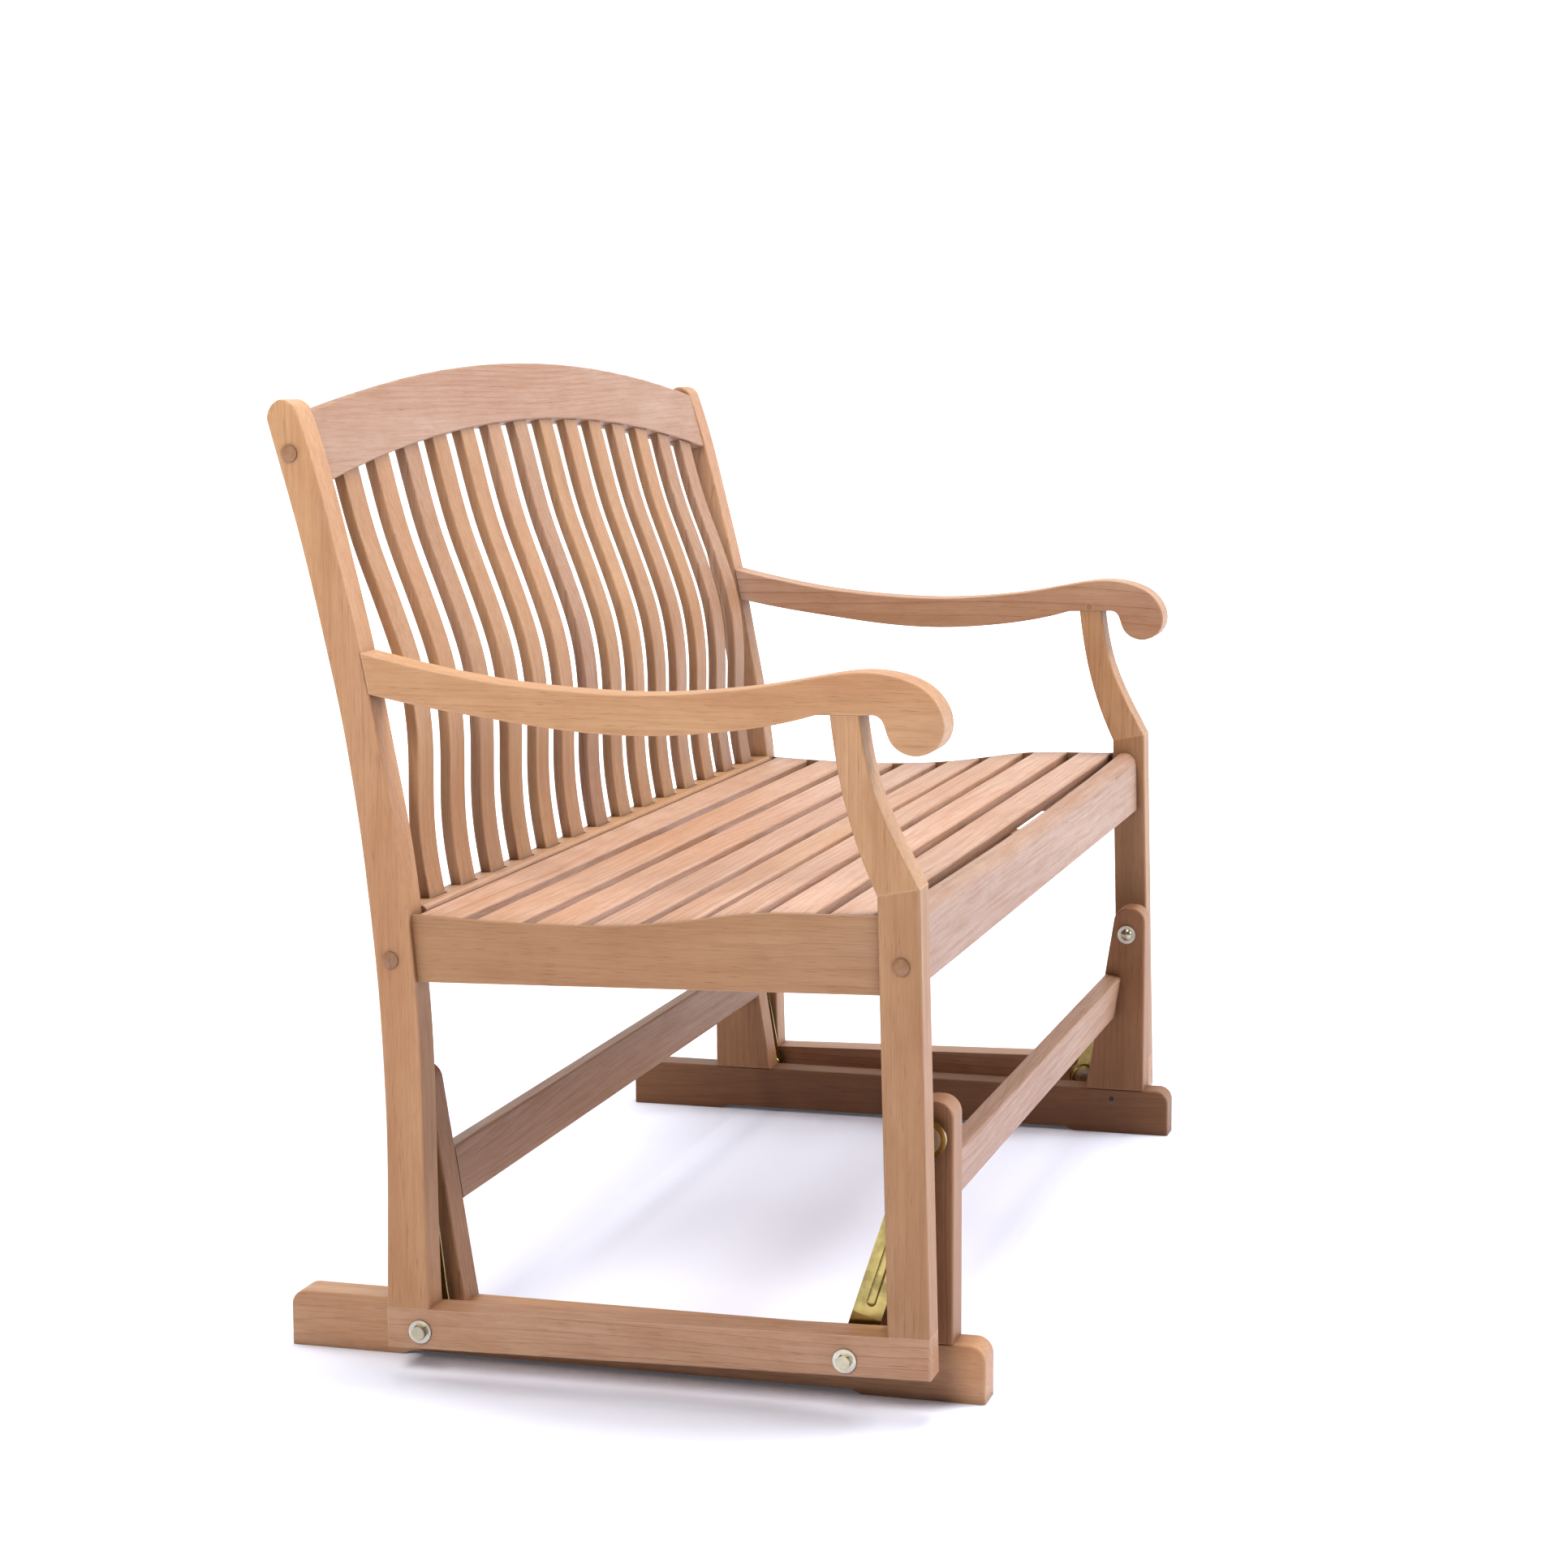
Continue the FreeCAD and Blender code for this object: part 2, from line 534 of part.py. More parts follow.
def mortises():
    """Square-cornered pockets for the back slats: in the top rail, and in the seat rail."""
    w = BACK_SLAT_W / 2 + MORTISE_CLEAR
    upper, lower = [], []
    for x in [back_slat_x(i) for i in range(BACK_SLATS)]:
        pocket = box(x - w, x + w, MORTISE_FRONT, MORTISE_FRONT + MORTISE_W,
                     -5, arch(x, TOP_RAIL_RISE_LOW) + SLAT_TENON)
        pocket.Placement = rail_frame().multiply(pocket.Placement)
        upper.append(pocket)
        foot = REAR_RAIL_TOP_Z - SLAT_TENON
        lower.append(box(x - w, x + w, REAR_MORTISE_Y, REAR_MORTISE_Y + MORTISE_W,
                         foot, REAR_RAIL_TOP_Z + 5))
    return Part.makeCompound(upper), Part.makeCompound(lower)


# ---------------------------------------------------------------- base
def runner():
    y0, y1 = RUNNER_FRONT_Y, -RUNNER_FRONT_Y
    body = box(BASE_IN_X, BASE_OUT_X, y0, y1, 0, RUNNER_H)
    upper = [e for e in body.Edges if e.BoundBox.YLength < 1e-6 and e.BoundBox.ZMin > 1
             and e.BoundBox.XLength > 1]
    body = body.makeFillet(RUNNER_CORNER_R, upper)
    body = body.makeFillet(EDGE_R, cheek_edges(body, lambda b: b.ZMax < 1e-6))
    relief = slab(outline([(y0 + FOOT_FRONT, -1), (y0 + FOOT_FRONT, 0)],
                          [(y0 + FOOT_FRONT, 0), (y0 + FOOT_FRONT + FOOT_RAMP, FOOT_RELIEF)],
                          [(y0 + FOOT_FRONT + FOOT_RAMP, FOOT_RELIEF),
                           (y1 - FOOT_REAR - FOOT_RAMP, FOOT_RELIEF)],
                          [(y1 - FOOT_REAR - FOOT_RAMP, FOOT_RELIEF), (y1 - FOOT_REAR, 0)],
                          [(y1 - FOOT_REAR, 0), (y1 - FOOT_REAR, -1)]),
                  BASE_IN_X - 1, BASE_OUT_X + 1)
    return body.cut(relief)


def post():
    """Front post: upright front face, rear edge tapering, rounded head."""
    y0 = POST_FRONT_Y
    w_top = POST_FOOT_W - (POST_TOP_Z - RUNNER_H) * math.tan(math.radians(POST_SLOPE))
    wire = outline([(y0, RUNNER_H), (y0, POST_TOP_Z)], [(y0, POST_TOP_Z),
                   (y0 + w_top, POST_TOP_Z)], [(y0 + w_top, POST_TOP_Z),
                   (y0 + POST_FOOT_W, RUNNER_H)])
    body = slab(wire, BASE_IN_X, BASE_OUT_X)
    head = [e for e in body.Edges if e.BoundBox.XLength > 1
            and e.BoundBox.ZMin > POST_TOP_Z - 1]
    body = body.makeFillet(POST_HEAD_R, head)
    body = body.makeFillet(EDGE_R, cheek_edges(body, lambda b: b.ZMax < RUNNER_H + 1e-3))
    return body.cut(drum(BASE_IN_X - 1, BASE_OUT_X + 1, UPPER_FRONT[0], PIVOT_Z,
                         BOLT_D / 2 + BOLT_HOLE_CLEAR))


def swap_front_back(shape):
    """Mirror about the plane midway between the posts."""
    mid = (POST_FRONT_Y + POST_REAR_Y) / 2
    return shape.mirror(Vector(0, mid, 0), Vector(0, 1, 0))


def stretcher():
    """Cross board between the front posts, flush with their tapering edge."""
    board = box(-BASE_IN_X, BASE_IN_X, -STRETCHER_T, 0, -STRETCHER_H, 0)
    board = board.makeFillet(STRETCHER_EDGE_R, long_edges(board))
    y = (POST_FRONT_Y + POST_FOOT_W
         - (STRETCHER_TOP_Z - RUNNER_H) * math.tan(math.radians(POST_SLOPE)))
    board.Placement = Placement(Vector(0, y, STRETCHER_TOP_Z),
                                Rotation(Vector(1, 0, 0), POST_SLOPE))
    return board


# ---------------------------------------------------------------- hardware
def hex_head(x0, x1, y, z):
    r = BOLT_AF / math.sqrt(3)
    pts = [Vector(x0, y + r * math.cos(math.radians(60 * k + 12)),
                  z + r * math.sin(math.radians(60 * k + 12))) for k in range(7)]
    return Part.Face(Part.makePolygon(pts)).extrude(Vector(x1 - x0, 0, 0))


def lower_bolt(y, z):
    """Hex bolt through washer, rail and bearing hub (right-hand side)."""
    head_in = OUT_X + WASHER_T
    head = hex_head(head_in, head_in + BOLT_HEAD_H, y, z)
    head = head.common(Part.makeCone(BOLT_AF * 0.62, BOLT_AF * 0.50, BOLT_HEAD_H,
                                     Vector(head_in, y, z), Vector(1, 0, 0)))
    return head.fuse(drum(lower_hub_x()[0], head_in + 0.5, y, z, BOLT_D / 2)).removeSplitter()


def washer(x0, x1, y, z):
    ring = drum(x0, x1, y, z, WASHER_D / 2)
    return ring.cut(drum(x0 - 1, x1 + 1, y, z, BOLT_D / 2 + BOLT_HOLE_CLEAR))


def upper_bolt(y, z):
    """Domed bolt from the post's inner face out into the bearing hub."""
    x0 = BASE_IN_X - WASHER_T
    dome_r = (BUTTON_D ** 2 / 4 + BUTTON_H ** 2) / (2 * BUTTON_H)
    ball = Part.makeSphere(dome_r, Vector(x0 - BUTTON_H + dome_r, y, z))
    head = ball.common(drum(x0 - BUTTON_H - 1, x0, y, z, BUTTON_D / 2))
    return head.fuse(drum(x0 - 0.5, upper_hub_x()[1], y, z, BOLT_D / 2)).removeSplitter()


def eye_plane(upper):
    """Inner face of the sheet at the upper or lower eye."""
    x = BASE_OUT_X + ARM_PLANE
    return x if upper else x + ARM_LEAN


def upper_hub_x():
    return BASE_OUT_X + HUB_FACE_GAP, eye_plane(True) + SHEET_T + 1.5


def lower_hub_x():
    return eye_plane(False) + SHEET_T - BEARING_W - 1.5, IN_X - HUB_FACE_GAP


def eye(pivot, upper):
    """Disc, turned lip and drawn cup round one bearing, and what is cut out for it."""
    y, z = pivot
    x0 = eye_plane(upper)
    x1 = x0 + SHEET_T
    disc = drum(x0, x1, y, z, EYE_R)
    lip = drum(x1, x1 + EYE_LIP_H, y, z, EYE_R).cut(
        drum(x1 - 1, x1 + EYE_LIP_H + 1, y, z, EYE_R - EYE_LIP_T))
    cup = drum(x1 - BEARING_W - CUP_T, x0, y, z, BEARING_R + CUP_T)
    cup = cup.makeFillet(CUP_T * 0.8, [e for e in cup.Edges if e.Closed
                                       and e.BoundBox.XMax < x0 - 1])
    seat = drum(x1 - BEARING_W, x1 + 1, y, z, BEARING_R)
    hole = drum(x1 - BEARING_W - CUP_T - 1, x1, y, z, CUP_HOLE_R)
    return disc.multiFuse([lip, cup]), [seat, hole]


def arm_strip():
    """The leaning strip with its rib, hung from the origin, along -Z."""
    x0 = eye_plane(True)
    runs = [(0, x0), (LEAN_START, x0), (LEAN_END, x0 + ARM_LEAN),
            (LINK_L, x0 + ARM_LEAN)]
    pts = [Vector(x, 0, -u) for u, x in runs] + \
          [Vector(x + SHEET_T, 0, -u) for u, x in reversed(runs)]
    strip = Part.Face(Part.makePolygon(pts + pts[:1])).extrude(Vector(0, ARM_W, 0))
    strip.translate(Vector(0, -ARM_W / 2, 0))
    length = RIB_END - RIB_START - RIB_W
    rib = Part.makeCylinder(RIB_W / 2, length, Vector(0, 0, 0), Vector(0, 0, -1))
    for u in (0, length):
        rib = rib.fuse(Part.makeSphere(RIB_W / 2, Vector(0, 0, -u)))
    squash = FreeCAD.Matrix()
    squash.A11 = RIB_H * 2 / RIB_W
    rib = rib.transformGeometry(squash)
    rib = rib.common(box(-SHEET_T / 2, RIB_H + 1, -RIB_W, RIB_W, -LINK_L, RIB_W))
    lean = math.degrees(math.atan2(ARM_LEAN, LEAN_END - LEAN_START))
    start = RIB_START + RIB_W / 2
    slope = ARM_LEAN / (LEAN_END - LEAN_START)
    rib.Placement = Placement(
        Vector(x0 + SHEET_T + (start - LEAN_START) * slope, 0, -start),
        Rotation(Vector(0, 1, 0), -lean))
    return strip.fuse(rib)


def hanger_arm(pivot, degrees, low):
    """Stamped arm of the right-hand side: leaning strip, rib and two eyes."""
    arm = arm_strip()
    arm.Placement = Placement(Vector(0, pivot[0], pivot[1]),
                              Rotation(Vector(1, 0, 0), degrees))
    top, cuts_a = eye(pivot, True)
    bottom, cuts_b = eye(low, False)
    arm = arm.multiFuse([top, bottom])
    for c in cuts_a + cuts_b:
        arm = arm.cut(c)
    return arm.removeSplitter()


def bearing(pivot, upper, bore_r, hub_r):
    """Sealed bearing with its hub: races, recessed shield and bore, turned about X."""
    b = eye_plane(upper) + SHEET_T
    a = b - BEARING_W
    h0, h1 = upper_hub_x() if upper else lower_hub_x()
    r1, r2 = BEARING_R, BEARING_R - 2.6
    dip = 0.8
    prof = [(h0, bore_r), (h1, bore_r), (h1, hub_r), (b - dip, hub_r), (b - dip, r2),
            (b, r2), (b, r1), (a, r1), (a, r2), (a + dip, r2), (a + dip, hub_r),
            (h0, hub_r), (h0, bore_r)]
    wire = Part.makePolygon([Vector(x, pivot[0], pivot[1] + r) for x, r in prof])
    return Part.Face(wire).revolve(Vector(0, pivot[0], pivot[1]), Vector(1, 0, 0), 360)


def plug(y, z):
    """Proud wooden plug with a rounded end, in a leg's outer face (right-hand side)."""
    r = PLUG_D / 2
    rim = OUT_X + PLUG_STAND
    ball_r = (r ** 2 + PLUG_DOME ** 2) / (2 * PLUG_DOME)
    ball = Part.makeSphere(ball_r, Vector(rim + PLUG_DOME - ball_r, y, z))
    dome = ball.common(drum(rim, rim + PLUG_DOME + 1, y, z, r))
    return dome.fuse(drum(OUT_X - PLUG_DEPTH, rim, y, z, r)).removeSplitter()


def arm_plug():
    x = IN_X - ARM_OVERHANG
    return drum(x, x + PLUG_DEPTH, ARM_PLUG_AT[0], ARM_PLUG_AT[1], ARM_PLUG_D / 2)


def runner_plug():
    return drum(BASE_IN_X, BASE_IN_X + RUNNER_PLUG_DEPTH, POST_FRONT_Y + RUNNER_PLUG_Y,
                RUNNER_PLUG_Z, RUNNER_PLUG_D / 2)


# ---------------------------------------------------------------- assembly
def build_bench():
    top, top_ends = top_rail()
    rear, rear_ends = rear_rail()
    front, front_ends = front_apron()
    support = centre_support()
    seat = [seat_slat(i) for i in range(SEAT_SLATS)]
    blank = back_slat_blank()
    back = [back_slat(i, blank) for i in range(BACK_SLATS)]
    upper_pockets, lower_pockets = mortises()
    rear_leg_r, front_leg_r = rear_leg(), front_leg()
    rear_tongue, front_tongue = apron_tenons()
    apron = side_apron().cut(rear_leg_r).cut(front_leg_r)
    apron = apron.common(box(APRON_IN_X, APRON_OUT_X, FRONT_LEG_REAR_Y, 226.0, 300, 500))
    apron = apron.fuse([rear_tongue, front_tongue]).removeSplitter()
    apron = apron.cut(Part.makeCompound(seat))
    plugs = [plug(y, z) for y, z in PLUGS]
    rear_leg_r = rear_leg_r.cut(Part.makeCompound(
        [top_ends[1], rear_ends[1], rear_tongue] + plugs))
    front_leg_r = front_leg_r.cut(Part.makeCompound(
        [front_ends[1], front_tongue] + plugs))
    arm = armrest().cut(arm_plug())
    bolts = [lower_bolt(y, z) for y, z in (LOWER_FRONT, LOWER_REAR)]
    washers = [washer(OUT_X, OUT_X + WASHER_T, y, z) for y, z in (LOWER_FRONT, LOWER_REAR)]
    for name, s in SIDES:
        keep("rear_leg_" + name, hang(side(rear_leg_r, s)))
        keep("front_leg_" + name, hang(side(front_leg_r, s)))
        keep("arm_support_" + name, hang(side(arm_support(), s)))
        keep("armrest_" + name, hang(side(arm, s)))
        keep("side_apron_" + name, hang(side(apron, s)))
        keep("lower_rail_" + name, hang(side(lower_rail(), s)))
    keep("top_rail", hang(top.cut(upper_pockets)))
    keep("rear_seat_rail", hang(rear.cut(lower_pockets)))
    keep("front_apron", hang(front))
    keep("seat_centre_support", hang(support.cut(Part.makeCompound(seat))))
    for i, s in enumerate(seat):
        keep("seat_slat_%d" % (i + 1), hang(s))
    for i, s in enumerate(back):
        keep("back_slat_%02d" % (i + 1), hang(s))
    keep("wood_plugs", [hang(side(p, s)) for p in plugs + [arm_plug()]
                        for _, s in SIDES])
    keep("lower_pivot_bolts", [hang(side(b, s)) for b in bolts for _, s in SIDES])
    keep("lower_pivot_washers", [hang(side(w, s)) for w in washers for _, s in SIDES])


def build_base():
    plug_r = runner_plug()
    run = runner().cut(plug_r)
    front = post()
    rear = swap_front_back(front)
    board = stretcher()
    for name, s in SIDES:
        keep("runner_" + name, side(run, s))
        keep("front_post_" + name, side(front, s))
        keep("rear_post_" + name, side(rear, s))
    keep("front_stretcher", board)
    keep("rear_stretcher", swap_front_back(board))
    pivots = (UPPER_FRONT, UPPER_REAR)
    keep("upper_pivot_bolts", [side(upper_bolt(*p), s) for p in pivots for _, s in SIDES])
    keep("upper_pivot_washers",
         [side(washer(BASE_IN_X - WASHER_T, BASE_IN_X, *p), s)
          for p in pivots for _, s in SIDES])
    keep("runner_plugs", [side(plug_r, s) for _, s in SIDES])


def build_hangers():
    tight = BOLT_D / 2 + PIN_CLEAR
    loose = BOLT_D / 2 + OPEN_CLEAR
    ends = (("front", UPPER_FRONT, HUNG_FRONT, REST_SWING, tight, HUB_R),
            ("rear", UPPER_REAR, HUNG_REAR, REAR_SWING, loose, OPEN_HUB_R))
    for end, up, low, swing, bore, hub in ends:
        arm = hanger_arm(up, swing, low)
        rings = [bearing(up, True, tight, HUB_R), bearing(low, False, bore, hub)]
        for name, s in SIDES:
            keep("hanger_%s_%s" % (end, name), side(arm, s))
            keep("bearings_%s_%s" % (end, name), [side(r, s) for r in rings])


build_bench()
build_base()
build_hangers()
for node, solids in SOLIDS.items():
    shape = solids[0] if len(solids) == 1 else Part.makeCompound(solids)
    shape.exportStep("parts/%s.step" % node)
print("nodes", len(SOLIDS))
print("front pivots", UPPER_FRONT, HUNG_FRONT)
print("rear pivots", UPPER_REAR, HUNG_REAR)
print("bench tilt %.3f rear swing %.3f" % (BENCH_TILT, REAR_SWING))
for node, solids in SOLIDS.items():
    for s in solids:
        if not s.isValid() or s.ShapeType not in ("Solid", "Compound") or not s.Volume > 0:
            print("BAD", node, s.ShapeType, s.isValid(), s.Volume)
        if s.ShapeType == "Compound" and len(s.Solids) != 1:
            print("PIECES", node, len(s.Solids))
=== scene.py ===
import bpy
import math
from mathutils import Matrix, Vector

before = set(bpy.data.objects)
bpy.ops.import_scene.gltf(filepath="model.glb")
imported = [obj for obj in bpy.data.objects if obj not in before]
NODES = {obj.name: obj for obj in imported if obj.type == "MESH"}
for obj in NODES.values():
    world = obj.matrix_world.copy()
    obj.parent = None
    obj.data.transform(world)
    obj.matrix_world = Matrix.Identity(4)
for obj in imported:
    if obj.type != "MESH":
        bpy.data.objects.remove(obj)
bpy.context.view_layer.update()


def seed_of(text):
    """A small fixed number from a name, so each board differs the same way every run."""
    n = 7
    for ch in text:
        n = (n * 31 + ord(ch)) % 9973
    return n


def part_of(seed, k):
    """Number k in 0..1 drawn from a seed."""
    return ((seed * (37 + 24 * k) + 101 * k) % 997) / 997.0


def scaled(colour, k):
    return tuple(v * k for v in colour)


# ---------------------------------------------------------------- node helpers
class Nodes:
    """Short calls for building a material's node tree."""

    def __init__(self, name):
        self.mat = bpy.data.materials.new(name)
        self.mat.use_nodes = True
        self.tree = self.mat.node_tree
        self.bsdf = self.tree.nodes["Principled BSDF"]

    def new(self, kind, **attrs):
        n = self.tree.nodes.new(kind)
        for k, v in attrs.items():
            setattr(n, k, v)
        return n

    def link(self, a, b):
        self.tree.links.new(a, b)

    def put(self, socket, value):
        if isinstance(value, bpy.types.NodeSocket):
            self.link(value, socket)
        else:
            socket.default_value = value

    def coords(self, scale, offset=(0, 0, 0), turn=(0, 0, 0)):
        tc = self.new("ShaderNodeTexCoord")
        m = self.new("ShaderNodeMapping")
        self.link(tc.outputs["Object"], m.inputs["Vector"])
        m.inputs["Scale"].default_value = scale
        m.inputs["Location"].default_value = offset
        m.inputs["Rotation"].default_value = turn
        return m.outputs["Vector"]

    def noise(self, vec, scale, detail=3.0, rough=0.55, distortion=0.0):
        n = self.new("ShaderNodeTexNoise")
        self.link(vec, n.inputs["Vector"])
        n.inputs["Scale"].default_value = scale
        n.inputs["Detail"].default_value = detail
        n.inputs["Roughness"].default_value = rough
        n.inputs["Distortion"].default_value = distortion
        return n.outputs["Fac"]

    def ramp(self, fac, stops):
        r = self.new("ShaderNodeValToRGB")
        self.link(fac, r.inputs["Fac"])
        e = r.color_ramp.elements
        while len(e) < len(stops):
            e.new(0.5)
        for i, (p, c) in enumerate(stops):
            e[i].position = p
            e[i].color = c if len(c) == 4 else (*c, 1.0)
        return r.outputs["Color"]

    def remap(self, value, a, b, c, d):
        m = self.new("ShaderNodeMapRange")
        self.link(value, m.inputs["Value"])
        for k, v in zip(("From Min", "From Max", "To Min", "To Max"), (a, b, c, d)):
            m.inputs[k].default_value = v
        return m.outputs["Result"]

    def math(self, op, a, b=0.0):
        m = self.new("ShaderNodeMath", operation=op)
        self.put(m.inputs[0], a)
        self.put(m.inputs[1], b)
        return m.outputs[0]

    def mix(self, fac, a, b, mode="MIX"):
        m = self.new("ShaderNodeMix", data_type="RGBA", blend_type=mode)
        self.put(m.inputs["Factor"], fac)
        self.put(m.inputs[6], a if isinstance(a, bpy.types.NodeSocket) else (*a, 1.0))
        self.put(m.inputs[7], b if isinstance(b, bpy.types.NodeSocket) else (*b, 1.0))
        return m.outputs[2]

    def bump(self, height, strength, distance):
        b = self.new("ShaderNodeBump")
        b.inputs["Strength"].default_value = strength
        b.inputs["Distance"].default_value = distance
        self.link(height, b.inputs["Height"])
        self.link(b.outputs["Normal"], self.bsdf.inputs["Normal"])
        return b


# ---------------------------------------------------------------- teak
GOLD = (0.395, 0.232, 0.124)        # sanded heartwood
ROSE = (0.385, 0.252, 0.190)        # the pinker boards; on the boards that face the front and top it also stands in for painted sheen
BROWN = (0.262, 0.118, 0.050)       # denser growth
DARK_LINE = (0.100, 0.040, 0.018)
WEAR_AND_HIGHLIGHT = (0.640, 0.470, 0.330)        # corners painted pale, partly rubbed wear and partly painted highlight
WEAR_AND_HIGHLIGHT_RADIUS = 0.0022                # metres, how far round a corner the pale wear and painted highlight reach
CREVICE_SHADE_REACH = 0.014                 # metres, how far the painted shade of a joint or crevice spreads


def teak(name, axis, tone=0.0, rose=0.3, deep=0.0):
    """Sanded, lightly oiled teak.

    axis is the grain's direction: 0 X, 1 Y, 2 Z. tone lightens or darkens the board, rose
    goes from golden (0) to pinkish (1), and deep goes towards red-brown.
    """
    s = seed_of(name)
    n = Nodes("teak_" + name)
    off = [20.0 * part_of(s, k) for k in range(3)]
    turn = [0.03 * (part_of(s, k + 3) - 0.5) for k in range(3)]

    def along(a, c):
        v = [c, c, c]
        v[axis] = a
        return v

    # broad clouds of golden and rosy wood, long in the grain's direction
    cloud = n.noise(n.coords(along(1.6, 11.0), off, turn), 1.0, 3.0, 0.55)
    drift = n.noise(n.coords(along(0.8, 5.0), off[::-1], turn), 1.0, 2.0, 0.5)
    # growth rings: planes across the board, bent slowly so they run out as arches
    warp = n.noise(n.coords(along(1.3, 6.0), off[::-1], turn), 1.0, 1.5, 0.4)
    sep = n.new("ShaderNodeSeparateXYZ")
    n.link(n.coords((1, 1, 1), off, turn), sep.inputs[0])
    cross = [k for k in range(3) if k != axis]
    q1 = n.math("MULTIPLY", sep.outputs[cross[0]], 75.0 + 70 * part_of(s, 6))
    q2 = n.math("MULTIPLY", sep.outputs[cross[1]], 55.0 + 70 * part_of(s, 7))
    q = n.math("ADD", n.math("ADD", q1, q2), n.math("MULTIPLY", warp, 13.0))
    saw = n.math("FRACT", q)
    band = n.math("POWER", saw, 3.0)
    line = n.remap(saw, 0.90, 0.985, 0.0, 1.0)
    seldom = n.remap(drift, 0.42, 0.64, 0.12, 1.0)
    fine = n.noise(n.coords(along(7.0, 330.0), off, turn), 1.0, 3.0, 0.65)
    pores = n.noise(n.coords(along(45.0, 1300.0), off, turn), 1.0, 1.0, 0.5)
    streak = n.noise(n.coords(along(1.2, 60.0), off[::-1], turn), 1.0, 4.0, 0.62)
    blotch = n.noise(n.coords(along(16.0, 48.0), off, turn), 1.0, 4.0, 0.65)

    k = 1.0 + tone
    gold, pink, brown = scaled(GOLD, k), scaled(ROSE, k), scaled(BROWN, k)
    hue = n.remap(drift, 0.36, 0.64, rose - 0.35, rose + 0.35)
    col = n.mix(deep, n.mix(hue, gold, pink), scaled(BROWN, 1.25 * k))
    col = n.mix(n.remap(cloud, 0.42, 0.72, 0.0, 0.50), col, scaled(BROWN, 1.15 * k))
    col = n.mix(n.remap(cloud, 0.20, 0.44, 0.34, 0.0), col, scaled(gold, 1.24))
    col = n.mix(n.remap(blotch, 0.42, 0.72, 0.0, 0.34), col, brown)
    col = n.mix(n.math("MULTIPLY", n.math("MULTIPLY", band, seldom), 0.34), col, brown)
    col = n.mix(n.math("MULTIPLY", n.math("MULTIPLY", line, seldom), 0.50), col,
                scaled(DARK_LINE, k))
    col = n.mix(n.remap(streak, 0.56, 0.78, 0.0, 0.44), col, scaled(BROWN, 0.85 * k))
    col = n.mix(n.remap(fine, 0.42, 0.76, 0.0, 0.34), col, scaled(BROWN, 0.92 * k))
    col = n.mix(n.remap(pores, 0.60, 0.78, 0.0, 0.42), col, scaled(DARK_LINE, 1.1))
    # corners painted paler, partly rubbed wear and partly painted highlight along the
    # rounded edges: only there does a bevelled normal leave the true one
    bevel = n.new("ShaderNodeBevel", samples=4)
    bevel.inputs["Radius"].default_value = WEAR_AND_HIGHLIGHT_RADIUS
    geo = n.new("ShaderNodeNewGeometry")
    dot = n.new("ShaderNodeVectorMath", operation="DOT_PRODUCT")
    n.link(bevel.outputs["Normal"], dot.inputs[0])
    n.link(geo.outputs["Normal"], dot.inputs[1])
    edge = n.remap(dot.outputs["Value"], 0.999, 0.90, 0.0, 1.0)
    edge_wear_and_highlight = n.math("MULTIPLY", edge, n.remap(blotch, 0.35, 0.65, 0.06, 0.36))
    col = n.mix(edge_wear_and_highlight, col, scaled(WEAR_AND_HIGHLIGHT, k))
    # painted shade: joints, gaps and crevices are darkened where ambient occlusion finds
    # them closed in, so boards part with a darker line
    ao = n.new("ShaderNodeAmbientOcclusion", samples=6)
    ao.inputs["Distance"].default_value = CREVICE_SHADE_REACH
    painted_crevice_shade = n.remap(ao.outputs["AO"], 0.30, 0.92, 0.62, 0.0)
    col = n.mix(painted_crevice_shade, col, scaled(DARK_LINE, 1.2))
    n.link(col, n.bsdf.inputs["Base Color"])
    n.link(n.remap(fine, 0.3, 0.7, 0.42, 0.58), n.bsdf.inputs["Roughness"])
    n.bsdf.inputs["Specular IOR Level"].default_value = 0.42
    height = n.math("ADD", n.math("MULTIPLY", fine, 0.6), n.math("MULTIPLY", pores, -0.9))
    n.bump(height, 0.30, 0.0005)
    return n.mat


# ---------------------------------------------------------------- metals
def metal(name, colour, dark, rough, spots=60.0):
    """Plated steel: two tones in soft spots, with a fine bump."""
    n = Nodes(name)
    big = n.noise(n.coords((1, 1, 1)), spots, 3.0, 0.6)
    small = n.noise(n.coords((1, 1, 1)), 900.0, 2.0, 0.6)
    col = n.mix(n.remap(big, 0.35, 0.7, 0.0, 0.8), colour, dark)
    n.link(col, n.bsdf.inputs["Base Color"])
    n.bsdf.inputs["Metallic"].default_value = 1.0
    n.link(n.remap(big, 0.3, 0.7, rough, rough + 0.16), n.bsdf.inputs["Roughness"])
    n.bump(small, 0.15, 0.0002)
    return n.mat


# yellow zinc: the olive-gold is the plating's own, and how dark it is set is partly
# painted shade and painted reflection of dark surroundings
ZINC = metal("yellow_zinc", (0.46, 0.36, 0.14), (0.20, 0.17, 0.07), 0.17, 38.0)
STEEL = metal("bright_steel", (0.66, 0.65, 0.62), (0.50, 0.49, 0.47), 0.22)
WASHER = metal("washer_steel", (0.62, 0.60, 0.52), (0.42, 0.39, 0.31), 0.24)
BOLT = metal("bolt_steel", (0.52, 0.47, 0.34), (0.33, 0.29, 0.22), 0.22)
n = Nodes("dark_plug")
speck = n.noise(n.coords((1, 1, 1)), 500.0)
n.link(n.ramp(speck, [(0.3, (0.02, 0.015, 0.012)), (0.7, (0.06, 0.045, 0.04))]),
       n.bsdf.inputs["Base Color"])
n.bsdf.inputs["Roughness"].default_value = 0.6
DARK = n.mat


LENGTHWAYS = ("seat_slat", "front_apron", "rear_seat_rail", "top_rail",
              "front_stretcher", "rear_stretcher")
FORE_AND_AFT = ("armrest", "side_apron", "lower_rail", "runner", "seat_centre")
